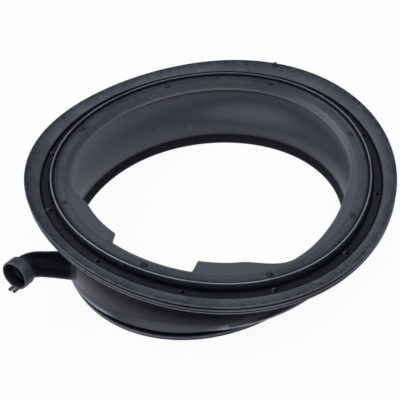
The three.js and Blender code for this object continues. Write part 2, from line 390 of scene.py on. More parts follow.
# Rounds each corner by its own radius, which a short neighbour may limit
def roundedSection():
    corners = sectionCorners()
    spots = [np.array(spot, dtype=float) for spot, _ in corners]
    flat = [flatPlace(spot) for spot in spots]
    steps = meshSizes["filletSteps"]
    most = meshSizes["filletShare"]
    rounded = []
    for here, (_, radius) in enumerate(corners):
        before = here - 1
        after = (here + 1) % len(corners)
        toBefore = flat[before] - flat[here]
        toAfter = flat[after] - flat[here]
        lengthBefore = np.linalg.norm(toBefore)
        lengthAfter = np.linalg.norm(toAfter)
        cosine = np.dot(toBefore, toAfter) / (lengthBefore * lengthAfter)
        turn = math.pi - math.acos(min(max(cosine, -1.0), 1.0))
        if turn < math.radians(meshSizes["plainCorner"]):
            rounded.append(spots[here])
            continue
        cut = min(radius * math.tan(turn / 2), most * lengthBefore, most * lengthAfter)
        start = spots[here] + (spots[before] - spots[here]) * cut / lengthBefore
        end = spots[here] + (spots[after] - spots[here]) * cut / lengthAfter
        for step in range(steps + 1):
            rounded.append(bentPoint(start, spots[here], end, step / steps))
    return rounded


# The angles at which the section is placed, closer together at a flap's abrupt end
def stationAngles():
    longest = meshSizes["abruptLength"]
    abrupt = [flap["from"] + flap["rise"] / 2 for flap in flaps if flap["rise"] < longest]
    abrupt += [flap["to"] - flap["fall"] / 2 for flap in flaps if flap["fall"] < longest]
    angles = []
    angle = -180.0
    while angle < 180 - 1e-6:
        angles.append(angle)
        isAbrupt = any(abs(angle - place) < meshSizes["fineReach"] for place in abrupt)
        angle += meshSizes["fineStep"] if isAbrupt else meshSizes["stationStep"]
    return [math.radians(angle) for angle in angles]


# Geometry node trees: a value fed to a socket is either another socket or a plain value
def feed(tree, socket, value):
    if isinstance(value, bpy.types.NodeSocket):
        tree.links.new(value, socket)
    elif value is not None:
        socket.default_value = value


def addNode(tree, kind, inputs=None, **settings):
    node = tree.nodes.new(kind)
    for name, value in settings.items():
        setattr(node, name, value)
    for name, value in (inputs or {}).items():
        feed(tree, node.inputs[name], value)
    return node


def calc(tree, operation, *values):
    return addNode(tree, "ShaderNodeMath", dict(enumerate(values)), operation=operation).outputs[0]


def times(tree, first, second):
    return calc(tree, "MULTIPLY", first, second)


def total(tree, values):
    result = values[0]
    for value in values[1:]:
        result = calc(tree, "ADD", result, value)
    return result


def blend(tree, share, first, second):
    apart = calc(tree, "SUBTRACT", second, first)
    return calc(tree, "MULTIPLY_ADD", apart, share, first)


# Maps a value's range from low to high to another range, evenly or with soft ends
def rangeNode(tree, value, low, high, before=0.0, after=1.0, kind="LINEAR"):
    limits = dict(enumerate((value, low, high, before, after)))
    return addNode(tree, "ShaderNodeMapRange", limits, interpolation_type=kind).outputs[0]


def namedSocket(sockets, name):
    return next(socket for socket in sockets if socket.enabled and socket.name == name)


def namedAttribute(tree, name, kind):
    source = addNode(tree, "GeometryNodeInputNamedAttribute", {"Name": name}, data_type=kind)
    return namedSocket(source.outputs, "Attribute")


def sampled(tree, geometry, name, kind, index):
    inputs = {"Geometry": geometry, "Index": index}
    sample = addNode(tree, "GeometryNodeSampleIndex", inputs, data_type=kind, domain="POINT")
    feed(tree, namedSocket(sample.inputs, "Value"), namedAttribute(tree, name, kind))
    return namedSocket(sample.outputs, "Value")


def parts(tree, vector):
    return addNode(tree, "ShaderNodeSeparateXYZ", {0: vector}).outputs


def startTree(name, inputs):
    tree = bpy.data.node_groups.new(name, "GeometryNodeTree")
    tree.interface.new_socket("Geometry", in_out="INPUT", socket_type="NodeSocketGeometry")
    for label, value in inputs.items():
        kind = "NodeSocketFloat"
        if isinstance(value, int):
            kind = "NodeSocketInt"
        if isinstance(value, bpy.types.Material):
            kind = "NodeSocketMaterial"
        tree.interface.new_socket(label, in_out="INPUT", socket_type=kind)
    tree.interface.new_socket("Geometry", in_out="OUTPUT", socket_type="NodeSocketGeometry")
    return tree, tree.nodes.new("NodeGroupInput").outputs


def endTree(tree, start, geometry):
    real = addNode(tree, "GeometryNodeRealizeInstances", {"Geometry": geometry}).outputs[0]
    inputs = {"Geometry": real, "Material": start["Material"]}
    painted = addNode(tree, "GeometryNodeSetMaterial", inputs)
    addNode(tree, "NodeGroupOutput", {0: painted.outputs[0]})
    return tree


def addObject(name, data):
    thing = bpy.data.objects.new(name, data)
    bpy.context.scene.collection.objects.link(thing)
    return thing


def evaluatedMesh(thing):
    bpy.context.view_layer.update()
    evaluated = thing.evaluated_get(bpy.context.evaluated_depsgraph_get())
    return bpy.data.meshes.new_from_object(evaluated)


# Runs a tree on a guide object and returns the plain mesh that comes out
def growMesh(guide, tree, inputs, name):
    modifier = guide.modifiers.new("grow", "NODES")
    modifier.node_group = tree
    for item in tree.interface.items_tree:
        if item.item_type == "SOCKET" and item.in_out == "INPUT" and item.name in inputs:
            modifier[item.identifier] = inputs[item.name]
    guide.update_tag()
    mesh = evaluatedMesh(guide)
    mesh.name = name
    bpy.data.objects.remove(guide)
    faceOutwards(mesh)
    return addObject(name, mesh)


def faceOutwards(mesh):
    work = bmesh.new()
    work.from_mesh(mesh)
    bmesh.ops.recalc_face_normals(work, faces=work.faces)
    if work.calc_volume(signed=True) < 0:
        bmesh.ops.reverse_faces(work, faces=work.faces)
    work.to_mesh(mesh)
    work.free()


def guideObject(name, points, edges=()):
    mesh = bpy.data.meshes.new(name)
    mesh.from_pydata([tuple(point) for point in points], list(edges), [])
    return addObject(name, mesh)


def storeVectors(mesh, name, rows):
    attribute = mesh.attributes.new(name, "FLOAT_VECTOR", "POINT")
    attribute.data.foreach_set("vector", np.array(rows, dtype=np.float32).ravel())


def storeNumbers(mesh, name, values):
    attribute = mesh.attributes.new(name, "FLOAT", "POINT")
    attribute.data.foreach_set("value", np.array(values, dtype=np.float32))


# The inputs of a ring tree: what the waves, the flaps, the swell and the lie need
def ringInputs(material, sectionCount, stationCount):
    inputs = {
        "Material": material,
        "Section Points": sectionCount,
        "Stations": stationCount,
        "Front Height": sealSizes["frontHeight"],
        "Tilt X": frontTilt[0],
        "Tilt Y": frontTilt[1],
        "Rear Centre X": rearCentre.x,
        "Rear Centre Y": rearCentre.y,
        "Channel Outer Radius": radii["channelOuter"],
        "Lip Radius": radii["lip"],
        "Swell Angle": float(rootSwell["angle"]),
        "Swell Spread": float(rootSwell["spread"]),
        "Swell Size": rootSwell["size"],
    }
    for name, waves in ringWaves.items():
        for count, size, peak in waves:
            inputs[f"{name} {count} Size"] = size
            inputs[f"{name} {count} Peak"] = float(peak)
    for number, flap in enumerate(flaps, 1):
        for word, value in flap.items():
            inputs[f"Flap {number} {word.title()}"] = float(value)
    return inputs


def waveNodes(tree, start, name, angle):
    terms = []
    for count, _, _ in ringWaves[name]:
        peak = calc(tree, "RADIANS", start[f"{name} {count} Peak"])
        turned = times(tree, calc(tree, "SUBTRACT", angle, peak), float(count))
        terms.append(times(tree, calc(tree, "COSINE", turned), start[f"{name} {count} Size"]))
    return total(tree, terms)


def flapNodes(tree, start, angle):
    degreesNow = calc(tree, "DEGREES", angle)
    widths = []
    for number in range(1, len(flaps) + 1):
        given = {word: start[f"Flap {number} {word.title()}"] for word in flaps[0]}
        apart = calc(tree, "SUBTRACT", degreesNow, given["from"])
        turned = calc(tree, "FLOORED_MODULO", apart, 360.0)
        length = calc(tree, "SUBTRACT", given["to"], given["from"])
        fallStart = calc(tree, "SUBTRACT", length, given["fall"])
        rising = rangeNode(tree, turned, 0.0, given["rise"], kind="SMOOTHSTEP")
        falling = rangeNode(tree, turned, fallStart, length, 1.0, 0.0, "SMOOTHSTEP")
        widths.append(times(tree, times(tree, rising, falling), given["width"]))
    return total(tree, widths)


def swellNodes(tree, start, angle):
    apart = calc(tree, "SUBTRACT", calc(tree, "DEGREES", angle), start["Swell Angle"])
    ratio = calc(tree, "DIVIDE", calc(tree, "WRAP", apart, 180.0, -180.0), start["Swell Spread"])
    bell = calc(tree, "EXPONENT", times(tree, times(tree, ratio, ratio), -1.0))
    return times(tree, bell, start["Swell Size"])


# Sweeps the section spots round the ring, and lays each one where the soft rubber lies
def ringTree(inputs):
    tree, start = startTree("seal_ring_sweep", inputs)
    guide = start["Geometry"]
    count = start["Section Points"]
    stations = start["Stations"]
    row = calc(tree, "ADD", count, 1.0)
    gridSize = {"Vertices X": calc(tree, "ADD", stations, 1.0), "Vertices Y": row}
    grid = addNode(tree, "GeometryNodeMeshGrid", gridSize).outputs[0]
    index = addNode(tree, "GeometryNodeInputIndex").outputs[0]
    station = calc(tree, "FLOOR", calc(tree, "DIVIDE", calc(tree, "ADD", index, 0.5), row))
    place = calc(tree, "SUBTRACT", index, times(tree, station, row))
    spotIndex = calc(tree, "MODULO", place, count)
    turnIndex = calc(tree, "ADD", calc(tree, "MODULO", station, stations), count)
    angle = sampled(tree, guide, "turn", "FLOAT", turnIndex)
    names = ("frontSpot", "rearSpot", "wallSpot")
    spots = [sampled(tree, guide, name, "FLOAT_VECTOR", spotIndex) for name in names]
    front, rear, wall = [parts(tree, spot) for spot in spots]
    wave = {name: waveNodes(tree, start, name, angle) for name in ringWaves}

    cosine = calc(tree, "COSINE", angle)
    sine = calc(tree, "SINE", angle)
    flapped = times(tree, front[2], flapNodes(tree, start, angle))
    reach = calc(tree, "ADD", calc(tree, "SUBTRACT", front[0], flapped), wave["Front Oval"])
    frontX = times(tree, reach, cosine)
    frontY = times(tree, reach, sine)
    lipShare = rangeNode(tree, front[0], start["Channel Outer Radius"], start["Lip Radius"])
    frontZ = total(tree, [
        start["Front Height"],
        front[1],
        times(tree, frontX, start["Tilt X"]),
        times(tree, frontY, start["Tilt Y"]),
        wave["Front Twist"],
        times(tree, lipShare, wave["Lip Twist"]),
    ])

    oval = blend(tree, rear[2], wave["Rear Oval"], wave["Fold Oval"])
    rearReach = calc(tree, "ADD", rear[0], oval)
    rearX = calc(tree, "MULTIPLY_ADD", rearReach, cosine, start["Rear Centre X"])
    rearY = calc(tree, "MULTIPLY_ADD", rearReach, sine, start["Rear Centre Y"])
    push = calc(tree, "MULTIPLY_ADD", wall[2], swellNodes(tree, start, angle), wall[1])
    placed = addNode(tree, "ShaderNodeCombineXYZ", {
        "X": calc(tree, "MULTIPLY_ADD", push, cosine, blend(tree, wall[0], frontX, rearX)),
        "Y": calc(tree, "MULTIPLY_ADD", push, sine, blend(tree, wall[0], frontY, rearY)),
        "Z": blend(tree, wall[0], frontZ, rear[1]),
    }).outputs[0]
    laid = addNode(tree, "GeometryNodeSetPosition", {"Geometry": grid, "Position": placed})
    joined = {"Geometry": laid.outputs[0], "Distance": meshSizes["mergeDistance"]}
    closed = addNode(tree, "GeometryNodeMergeByDistance", joined)
    return endTree(tree, start, closed.outputs[0])


def buildRing(material):
    spots = roundedSection()
    angles = stationAngles()
    lip = radii["lip"]
    points = [(flatPlace(spot)[0], 0.0, flatPlace(spot)[1]) for spot in spots]
    points += [(lip * math.cos(angle), lip * math.sin(angle), 0.0) for angle in angles]
    guide = guideObject("ring_guide", points)
    blank = [[0.0, 0.0, 0.0]] * len(angles)
    for first, name in ((0, "frontSpot"), (3, "rearSpot"), (6, "wallSpot")):
        rows = [list(spot[first:first + 3]) for spot in spots]
        storeVectors(guide.data, name, rows + blank)
    storeNumbers(guide.data, "turn", [0.0] * len(spots) + angles)
    inputs = ringInputs(material, len(spots), len(angles))
    return growMesh(guide, ringTree(inputs), inputs, "seal_ring")


# The way of a pipe that rises by one angle and is turned by another from +X
def wayOf(rise, turn):
    up = math.radians(rise)
    side = math.radians(turn)
    return Vector((math.cos(up) * math.cos(side), math.cos(up) * math.sin(side), math.sin(up)))


armWay = wayOf(spoutSizes["armRise"], 180)
endWay = wayOf(spoutSizes["endRise"], spoutSizes["endTurn"])


def alongArm(distance):
    reach = sealSizes["rearRadius"] - spoutSizes["rootInset"]
    angle = math.radians(spoutSizes["rootAngle"])
    offset = (reach * math.cos(angle), reach * math.sin(angle), spoutSizes["rootHeight"])
    return rearCentre + Vector(offset) + armWay * distance


def alongEnd(distance):
    return alongArm(spoutSizes["armLength"]) + endWay * distance


# A share from 0 to 1 with soft ends
def eased(share):
    return share * share * (3 - 2 * share)


# The route's last points: past the mouth for a bore, or over the mouth's round rim
def mouthRoute(inset, endOverrun):
    size = spoutSizes
    length = size["endLength"]
    radius = size["endRadius"]
    edge = size["rimRound"]
    if endOverrun > 0:
        wide = radius - inset + edge * size["boreRimShare"]
        places = [alongEnd(length + past) for past in (-edge, 0.0, endOverrun)]
        return list(zip(places, (radius - inset, wide, wide)))
    route = []
    for step in range(size["rimSteps"] + 1):
        turn = math.radians(90 * step / size["rimSteps"])
        distance = length - edge * (1 - math.sin(turn))
        route.append((alongEnd(distance), radius - edge * (1 - math.cos(turn)) - inset))
    return route


# Points along the spout's middle line with the radius at each, narrowed by an inset
def spoutRoute(inset, startOverrun, endOverrun):
    size = spoutSizes
    bend = size["bendRadius"]
    armEnd = size["armLength"] - bend
    route = []
    if startOverrun > 0:
        route.append((alongArm(-startOverrun), size["rootRadius"] - inset))
    for step in range(size["armSteps"] + 1):
        flare = (1 - step / size["armSteps"]) ** size["flareCurve"]
        radius = size["armRadius"] + (size["rootRadius"] - size["armRadius"]) * flare
        route.append((alongArm(armEnd * step / size["armSteps"]), radius - inset))
    first = alongArm(armEnd)
    corner = alongArm(size["armLength"])
    last = alongEnd(bend)
    for step in range(1, size["bendSteps"]):
        place = bentPoint(first, corner, last, step / size["bendSteps"])
        route.append((place, size["armRadius"] - inset))
    for step in range(size["wideningSteps"] + 1):
        share = step / size["wideningSteps"]
        radius = size["armRadius"] + (size["endRadius"] - size["armRadius"]) * eased(share)
        route.append((alongEnd(bend + share * size["stepLength"]), radius - inset))
    return route + mouthRoute(inset, endOverrun)


# A closed round tube along a route whose points carry their own radius
def tubeTree(inputs):
    tree, start = startTree("round_tube", inputs)
    line = addNode(tree, "GeometryNodeMeshToCurve", {0: start["Geometry"]}).outputs[0]
    circleSize = {"Resolution": start["Sides"], "Radius": 1.0}
    circle = addNode(tree, "GeometryNodeCurvePrimitiveCircle", circleSize).outputs[0]
    tube = addNode(tree, "GeometryNodeCurveToMesh", {
        "Curve": line,
        "Profile Curve": circle,
        "Scale": namedAttribute(tree, "tubeRadius", "FLOAT"),
        "Fill Caps": True,
    })
    return endTree(tree, start, tube.outputs[0])


def buildTube(name, route, material):
    points = [place for place, _ in route]
    edges = [(here, here + 1) for here in range(len(points) - 1)]
    guide = guideObject(name + "_guide", points, edges)
    storeNumbers(guide.data, "tubeRadius", [radius for _, radius in route])
    inputs = {"Material": material, "Sides": spoutSizes["sides"]}
    return growMesh(guide, tubeTree(inputs), inputs, name)


# Places copies of one small cutter, a pin or a ring, at points of the front ring
def copiesTree(inputs, sides, isRing):
    tree, start = startTree("cutter_row", inputs)
    radius = times(tree, start["Diameter"], 0.5)
    if isRing:
        middle = calc(tree, "SUBTRACT", radius, times(tree, start["Line"], 0.5))
        circleSize = {"Resolution": sides, "Radius": middle}
        circle = addNode(tree, "GeometryNodeCurvePrimitiveCircle", circleSize)
        lineSize = {"Width": start["Line"], "Height": start["Depth"]}
        line = addNode(tree, "GeometryNodeCurvePrimitiveQuadrilateral", lineSize)
        curves = {"Curve": circle.outputs[0], "Profile Curve": line.outputs[0]}
        cutter = addNode(tree, "GeometryNodeCurveToMesh", curves)
    else:
        pinSize = {"Vertices": sides, "Radius": radius, "Depth": start["Depth"]}
        cutter = addNode(tree, "GeometryNodeMeshCylinder", pinSize)
    spread = {"Points": start["Geometry"], "Instance": cutter.outputs[0]}
    copies = addNode(tree, "GeometryNodeInstanceOnPoints", spread)
    return endTree(tree, start, copies.outputs[0])


def ringPlaces(sizes, radius, height):
    turns = [sizes["firstAngle"] + place * 360 / sizes["count"] for place in range(sizes["count"])]
    return [frontPoint(math.radians(turn), radius, height) for turn in turns]


# Cutters of the blind holes or of the ring-shaped mould marks
def buildCutters(name, sizes, level, material):
    depth = sizes["depth"] + sizes["above"]
    middle = levels[level] + sizes["above"] - depth / 2
    guide = guideObject(name + "_guide", ringPlaces(sizes, radii[name], middle))
    line = sizes.get("line", 0.0)
    inputs = {"Material": material, "Diameter": sizes["diameter"], "Line": line, "Depth": depth}
    tree = copiesTree(inputs, sizes["sides"], line > 0)
    return growMesh(guide, tree, inputs, name + "_cutters")


# A frame on the front ring: X points outwards, Y along the ring, Z up
def frontFrame(turn, radius, height):
    angle = math.radians(turn)
    return Matrix.Translation(frontPoint(angle, radius, height)) @ Matrix.Rotation(angle, 4, "Z")


# A prism with softened edges, from an outline in X and Y and a height in Z
def prism(name, outline, low, high, edge, matrix, material):
    work = bmesh.new()
    bottom = [work.verts.new((x, y, low)) for x, y in outline]
    top = [work.verts.new((x, y, high)) for x, y in outline]
    work.faces.new(list(reversed(bottom)))
    work.faces.new(top)
    for here in range(len(outline)):
        after = (here + 1) % len(outline)
        work.faces.new((bottom[here], bottom[after], top[after], top[here]))
    edges = work.edges[:]
    bmesh.ops.bevel(work, geom=edges, offset=edge, segments=3, profile=0.5, affect="EDGES")
    bmesh.ops.transform(work, matrix=matrix, verts=work.verts[:])
    mesh = bpy.data.meshes.new(name)
    work.to_mesh(mesh)
    work.free()
    mesh.materials.append(material)
    faceOutwards(mesh)
    return addObject(name, mesh)


def box(length, width):
    x = length / 2
    y = width / 2
    return [(-x, -y), (x, -y), (x, y), (-x, y)]


def buildNub(material):
    size = nubSizes
    half = size["width"] / 2
    height = size["height"] / 2
    outline = [(-size["buried"], -half), (size["proud"], 0.0), (-size["buried"], half)]
    place = frontFrame(size["angle"], radii["lip"], -size["drop"])
    return prism("nub", outline, -height, height, size["edge"], place, material)


def buildSlit(material):
    size = slitSizes
    place = frontFrame(size["angle"], radii["lip"], -(size["top"] + size["bottom"]) / 2)
    height = (size["bottom"] - size["top"]) / 2
    outline = box(size["depth"] * 2, size["width"])
    return prism("slit", outline, -height, height, size["edge"], place, material)


# A frame at the spout's mouth: X sideways, Y to the top of the spout, Z out of the mouth
def mouthFrame():
    side = Vector((0, 0, 1)).cross(endWay).normalized()
    top = endWay.cross(side)
    frameAxes = Matrix((side, top, endWay)).transposed().to_4x4()
    return Matrix.Translation(alongEnd(spoutSizes["endLength"])) @ frameAxes


def buildProngs(material):
    size = prongSizes
    outline = box(size["width"], size["thickness"])
    pieces = []
    for number, side in enumerate((-1, 1)):
        offset = Vector((
            side * (size["width"] + size["gap"]) / 2,
            size["drop"] - spoutSizes["endRadius"],
            size["proud"] - size["length"],
        ))
        place = mouthFrame() @ Matrix.Translation(offset)
        name = f"prong_{number}"
        pieces.append(prism(name, outline, 0, size["length"], size["edge"], place, material))
    return pieces


def buildGusset(material):
    size = gussetSizes
    height = size["height"] / 2
    top = Vector((0, 0, spoutSizes["armRadius"]))
    middle = alongArm(spoutSizes["armLength"] - size["length"]) + top
    slope = Matrix.Rotation(math.radians(spoutSizes["armRise"]), 4, "Y")
    outline = box(size["length"], size["thickness"])
    place = Matrix.Translation(middle) @ slope
    return prism("gusset", outline, -height, height, size["edge"], place, material)


# Joins or cuts one piece with the seal and keeps a plain mesh
def combine(seal, piece, operation):
    modifier = seal.modifiers.new("combine", "BOOLEAN")
    modifier.operation = operation
    modifier.solver = "MANIFOLD"
    modifier.object = piece
    mesh = evaluatedMesh(seal)
    seal.modifiers.clear()
    seal.data = mesh
    bpy.data.objects.remove(piece)


def vertexRows(mesh):
    places = np.empty(len(mesh.vertices) * 3, dtype=np.float32)
    mesh.vertices.foreach_get("co", places)
    normals = np.empty(len(mesh.vertices) * 3, dtype=np.float32)
    mesh.vertex_normals.foreach_get("vector", normals)
    ends = np.empty(len(mesh.edges) * 2, dtype=np.int32)
    mesh.edges.foreach_get("vertices", ends)
    return places.reshape(-1, 3), normals.reshape(-1, 3), ends.reshape(-1, 2)


# Evens a value out over the mesh's edges
def smoothed(values, ends, rounds):
    for _ in range(rounds):
        around = np.zeros(len(values))
        weight = np.zeros(len(values))
        for column in (0, 1):
            np.add.at(around, ends[:, column], values[ends[:, 1 - column]])
            np.add.at(weight, ends[:, column], 1.0)
        values = values * 0.5 + 0.5 * around / np.maximum(weight, 1)
    return values


# How the finished surface is read: the radius of a tight edge, and how far and in how
# many directions a vertex looks for rubber that shelters it
surfaceSizes = {
    "tightRadius": 0.0008,
    "edgeRounds": 1,
    "shelterReach": 0.022,
    "shelterRays": 10,
    "shelterRounds": 3,
    "rayStart": 0.00005,
}


# How convex the surface is at each vertex, from 0 on flats to 1 on tight edges
def edgeShares(mesh):
    places, normals, ends = vertexRows(mesh)
    apart = places[ends[:, 1]] - places[ends[:, 0]]
    bend = normals[ends[:, 1]] - normals[ends[:, 0]]
    lengths = np.maximum((apart ** 2).sum(axis=1), 1e-10)
    tight = surfaceSizes["tightRadius"]
    curve = np.clip((apart * bend).sum(axis=1) / lengths * tight, 0, 1)
    strongest = np.zeros(len(places))
    for column in (0, 1):
        np.maximum.at(strongest, ends[:, column], curve)
    return smoothed(strongest, ends, surfaceSizes["edgeRounds"])


# Directions spread evenly over the half space above a surface, more of them upright
def raysAbove(count):
    golden = math.pi * (3 - math.sqrt(5))
    rays = []
    for number in range(count):
        out = math.sqrt((number + 0.5) / count)
        turn = number * golden
        up = math.sqrt(1 - out ** 2)
        rays.append(Vector((out * math.cos(turn), out * math.sin(turn), up)))
    return rays


# How sheltered each vertex is by the rubber around it, from 0 in the open to 1; the
# colour darkens with it as painted shade
def shelterShares(mesh):
    reach = surfaceSizes["shelterReach"]
    places, normals, ends = vertexRows(mesh)
    work = bmesh.new()
    work.from_mesh(mesh)
    tree = BVHTree.FromBMesh(work)
    work.free()
    rays = raysAbove(surfaceSizes["shelterRays"])
    shares = np.zeros(len(places))
    for number, (place, normal) in enumerate(zip(places.tolist(), normals.tolist())):
        upright = Vector(normal)
        turn = upright.to_track_quat("Z", "Y").to_matrix()
        start = Vector(place) + upright * surfaceSizes["rayStart"]
        blocked = 0.0
        for ray in rays:
            distance = tree.ray_cast(start, turn @ ray, reach)[3]
            if distance is not None:
                blocked += 1 - distance / reach
        shares[number] = blocked / len(rays)
    return smoothed(shares, ends, surfaceSizes["shelterRounds"])


def ramp(values, low, high):
    return np.clip((values - low) / (high - low), 0, 1)


# A band is four limits: where it starts, is full, fades and ends
def band(values, limits):
    start, full, fades, ends = limits
    return ramp(values, start, full) * (1 - ramp(values, fades, ends))


# Where each vertex lies in the front ring, as radius and as height from its rim's top
def frontRows(places):
    x, y, z = places.T
    angle = np.arctan2(y, x)
    radius = np.hypot(x, y) - waveAt("Front Oval", angle)
    share = ramp(radius, radii["channelOuter"], radii["lip"])
    twist = waveAt("Front Twist", angle) + share * waveAt("Lip Twist", angle)
    return radius, z - sealSizes["frontHeight"] - frontTilt[0] * x - frontTilt[1] * y - twist


def rearAngles(places):
    return np.arctan2(places[:, 1] - rearCentre.y, places[:, 0] - rearCentre.x)


# Where each vertex lies in the rear ring, as radius and as height above the ground
def rearRows(places):
    reach = np.hypot(places[:, 0] - rearCentre.x, places[:, 1] - rearCentre.y)
    return reach - waveAt("Rear Oval", rearAngles(places)), places[:, 2]


# How near each vertex lies to a direction round the ring, from 0 to 1
def towards(places, peak, low, high):
    turn = np.arctan2(places[:, 1], places[:, 0])
    return ramp(np.cos(turn - math.radians(peak)), low, high)


# How squarely the surface faces away from the ring's middle, from -1 to 1
def outwardShares(places, normals):
    reach = np.maximum(np.hypot(places[:, 0], places[:, 1]), 0.001)
    return (normals[:, 0] * places[:, 0] + normals[:, 1] * places[:, 1]) / reach


# Limits in height, two above one level and two above another
def between(low, start, full, high, fades, ends):
    return levels[low] + start, levels[low] + full, levels[high] + fades, levels[high] + ends


# Bands round the ring. Each has its share, the radii that its first two and its last two
# limits across are measured from, those limits, and its limits in height. A limit of a
# metre or more leaves that side open.
channelHeights = (-0.0132, -0.0125, -0.0014, -0.0007)
# Painted shade in the front ring's channel, inside its rim, under its bead and round its side
frontShadeBands = {
    "channel": (0.45, "rim", "channelOuter", (-0.0006, 0.0, 0.0002, 0.0008), channelHeights),
    "channel wall": (
        1.0, "channelOuter", "channelOuter",
        (-0.0030, -0.0022, 0.0002, 0.0010), (-0.0132, -0.0125, -0.0090, -0.0078),
    ),
    "rim wall": (1.0, "rim", "channelInner", (-0.0002, 0.0003, 0.0012, 0.0017), channelHeights),
    "inside rim": (
        1.0, "rimInside", "rimInside",
        (-0.0018, -0.0014, -0.0001, 0.0003), (-0.0038, -0.0034, -0.0016, -0.0012),
    ),
    "under bead": (
        1.0, "wallTop", "wallTop",
        (-2, -1, 0.001, 0.002), (-0.0168, -0.0160, -0.0112, -0.0104),
    ),
    "side groove": (
        1.0, "side", "side", (-0.0050, -0.0045, 1, 2), (-0.0056, -0.0052, -0.0026, -0.0022),
    ),
    "rib gap": (
        1.0, "side", "side", (-0.0050, -0.0045, 1, 2), (-0.0087, -0.0084, -0.0074, -0.0071),
    ),
    "under ribs": (
        1.0, "side", "side", (-0.0050, -0.0045, 1, 2), (-0.0146, -0.0140, -0.0112, -0.0106),
    ),
}
# A painted shadow of the collar on the wall's outside
collarShadow = {
    "wall": (
        0.92, "channelOuter", "channelOuter",
        (-2, -1, -0.005, -0.001), (-0.0640, -0.0510, -0.0135, -0.0005),
    ),
}
# Painted shade in the clamp groove and the rear crease
rearShadeBands = {
    "clamp groove": (
        1.0, "groove", "fold", (-0.0018, -0.0010, -0.0012, -0.0004),
        between("grooveBottom", -0.0007, -0.0002, "fold", -0.0012, -0.0007),
    ),
    "crease": (
        0.85, "rear", "crease", (-0.0018, -0.0010, 0.0012, 0.0020),
        between("ground", 0.0006, 0.0026, "crease", 0.0014, 0.0034),
    ),
}
# Painted highlights along the rim, the lip's edges, the ribs and the face's edges
frontHighlights = {
    "rim": (0.30, "rim", "rim", (-0.0003, -0.0001, 0.0005, 0.0007), (-0.0010, -0.0005, 1, 2)),
    "lip inside": (
        0.08, "channelOuter", "channelOuter",
        (-0.0007, -0.0002, 0.0008, 0.0013), (-0.0080, -0.0072, 1, 2),
    ),
    "lip": (0.05, "lip", "lip", (-0.0014, -0.0010, 0.0010, 0.0014), (-0.0020, -0.0014, 1, 2)),
    "upper rib": (
        0.28, "side", "side", (-0.0007, -0.0004, 1, 2), (-0.0069, -0.0067, -0.0050, -0.0048),
    ),
    "lower rib": (
        0.28, "side", "side", (-0.0007, -0.0004, 1, 2), (-0.0110, -0.0108, -0.0087, -0.0085),
    ),
}
for edge in ("faceOuter", "faceInner"):
    across = (-0.0007, -0.0004, 0.0004, 0.0007)
    frontHighlights[edge] = (0.03, edge, edge, across, (-0.0060, -0.0050, 1, 2))
# A painted highlight along the inner bead
beadHighlight = {
    "bead": (
        0.08, "bead", "bead",
        (-0.0009, -0.0005, 0.0006, 0.0010), (-0.0112, -0.0108, -0.0085, -0.0081),
    ),
}
# A painted highlight along the rear flange's ridge
rearHighlights = {
    "ridge": (
        0.3, "flange", "rear", (-0.0003, 0.0, 0.0120, 0.0123), (0.0045, 0.0048, 0.0058, 0.0061),
    ),
}
# A painted highlight along the fold above the clamp groove
foldHighlight = {
    "share": 0.85,
    "across": (-0.0017, -0.0010, 0.0030, 0.0037),
    "height": between("fold", -0.0018, -0.0012, "fold", 0.0022, 0.0028),
}
holeGlint = {
    "share": 0.11,
    "across": (-0.0004, -0.0001, 0.0005, 0.0008),
    "side": (0.0018, 0.0030),
    "height": (-0.0104, -0.0098),
}
mouthHighlight = {"share": 0.12, "reach": (0.0015, 0.0020), "along": (-0.0008, -0.0002)}

# Where the other shares rise or fade: heights in the front ring, heights above the ground,
# how squarely the surface faces outwards or inwards, directions round the ring with the
# cosines they rise between, distances from the spout's middle line, and offsets at marks
shareLimits = {
    "ringTop": (-0.0128, -0.0118),
    "lipTop": (-0.0035, -0.0018),
    "wallTop": (-0.0190, -0.0150),
    "wallFoot": (0.009, 0.012),
    "skinFoot": (0.016, 0.030),
    "flange": (0.0048, 0.0058),
    "facesOut": (0.3, 0.6),
    "facesIn": (-0.3, 0.3),
    "shadowSide": (-80, 0.3, 0.8),
    "lipFar": (50, -0.2, 0.7),
    "faceFar": (100, 0.1, 0.8),
    "faceNear": (-85, 0.5, 0.9),
    "spoutRoot": (0.012, 0.019),
    "spoutSurface": (0.0185, 0.0205),
    "spoutEnd": (0.0, 0.004),
    "markEdge": 0.0001,
    "markDepth": 0.001,
    "discShare": 0.6,
    "discDepth": 0.0002,
}

# The least or greatest amounts of shares that don't run from 0 to 1
shareAmounts = {
    "shadowLeast": 0.3,
    "funnel": 0.8,
    # amounts of the painted side shade
    "nearSideShade": 0.8,
    "faceSideShade": 0.9,
    "sideShadeDimming": 0.6,
    # shares of the painted sheen on the wall's outside and on the rear flange
    "outerSkin": 0.2,
    "flangeSkin": 0.95,
    # how much of the spout's painted shadow its end is spared, more on its outer skin
    "spoutEnd": 0.3,
    "spoutSkin": 0.5,
}


# The strongest of several bands at each vertex
def bandShares(radius, height, bands):
    strongest = np.zeros(len(radius))
    for share, inner, outer, across, tall in bands.values():
        edges = [radii[inner] + across[0], radii[inner] + across[1]]
        edges += [radii[outer] + across[2], radii[outer] + across[3]]
        strongest = np.maximum(strongest, share * band(radius, edges) * band(height, tall))
    return strongest


# The offset of every vertex from each hole or mark of the front ring
def offsetsFrom(places, name, sizes, level):
    return [places - np.array(spot) for spot in ringPlaces(sizes, radii[name], levels[level])]


# Share of the bottoms of the ring-shaped marks, which get painted shade, then share of the
# small discs inside them, which get no painted shelter shade
def markShares(places):
    rings = np.zeros(len(places))
    discs = np.zeros(len(places))
    radius = markSizes["diameter"] / 2
    for x, y, z in (offset.T for offset in offsetsFrom(places, "mark", markSizes, "face")):
        reach = np.hypot(x, y)
        isBottom = (z < -markSizes["depth"] / 2) & (z > -shareLimits["markDepth"])
        rings[(reach < radius + shareLimits["markEdge"]) & isBottom] = 1.0
        isInside = reach < radius - shareLimits["discShare"] * markSizes["line"]
        discs[isInside & (z > -shareLimits["discDepth"])] = 1.0
    return rings, discs
